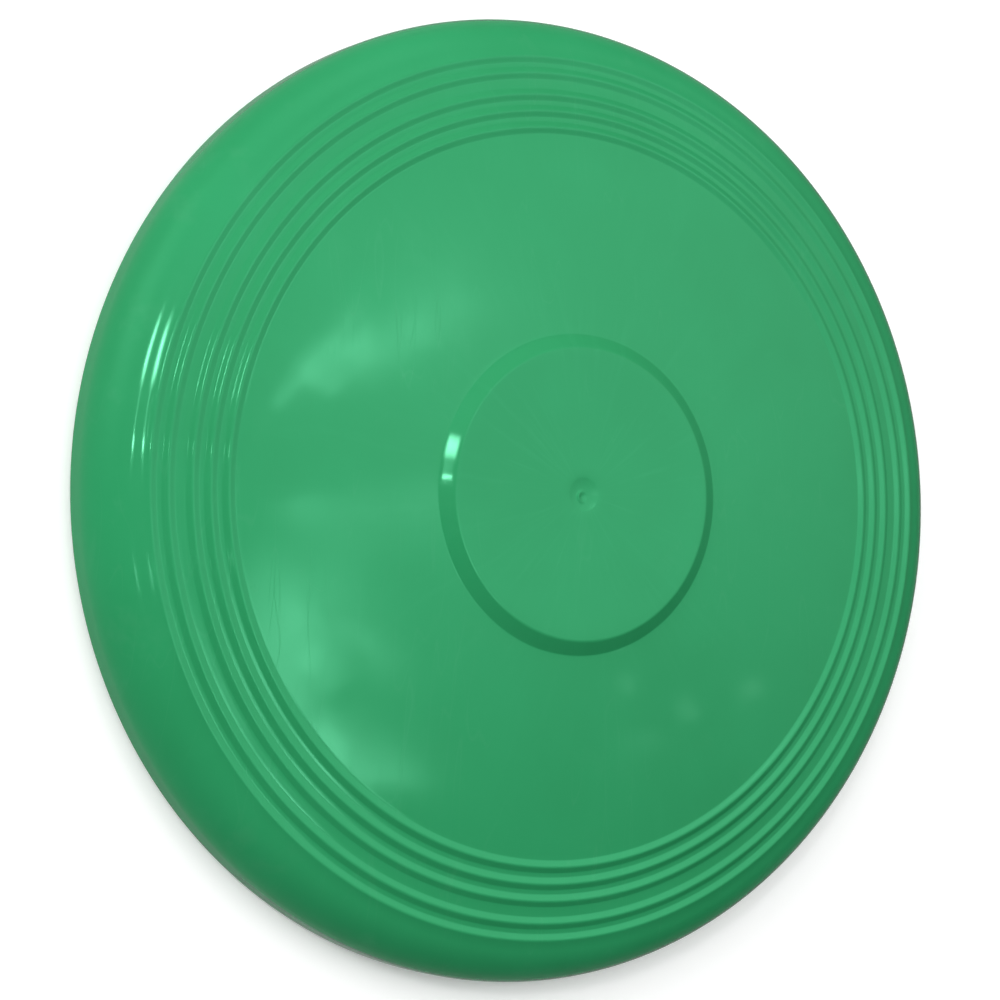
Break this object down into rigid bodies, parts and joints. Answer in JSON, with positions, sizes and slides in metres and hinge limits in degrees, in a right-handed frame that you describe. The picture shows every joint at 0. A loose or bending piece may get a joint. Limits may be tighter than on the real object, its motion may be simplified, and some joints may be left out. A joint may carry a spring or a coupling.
{
  "type": "flying disc",
  "caption": "Domed moulded throwing disc with concentric grip ribs, a low raised centre boss and a rounded rim that is open underneath.",
  "frame": {"origin": "centre of the plane that the rim stands on", "axes": "+Z is the spin axis and points out of the domed upper face; the disc is round, so +X and +Y are free"},
  "size_m": [0.23, 0.23, 0.0317],
  "materials": {
    "disc_plastic": "opaque green moulded plastic with a gloss surface and light handling scuffs"
  },
  "bodies": {
    "root": {"disc": "disc_plastic"}
  },
  "joints": []
}
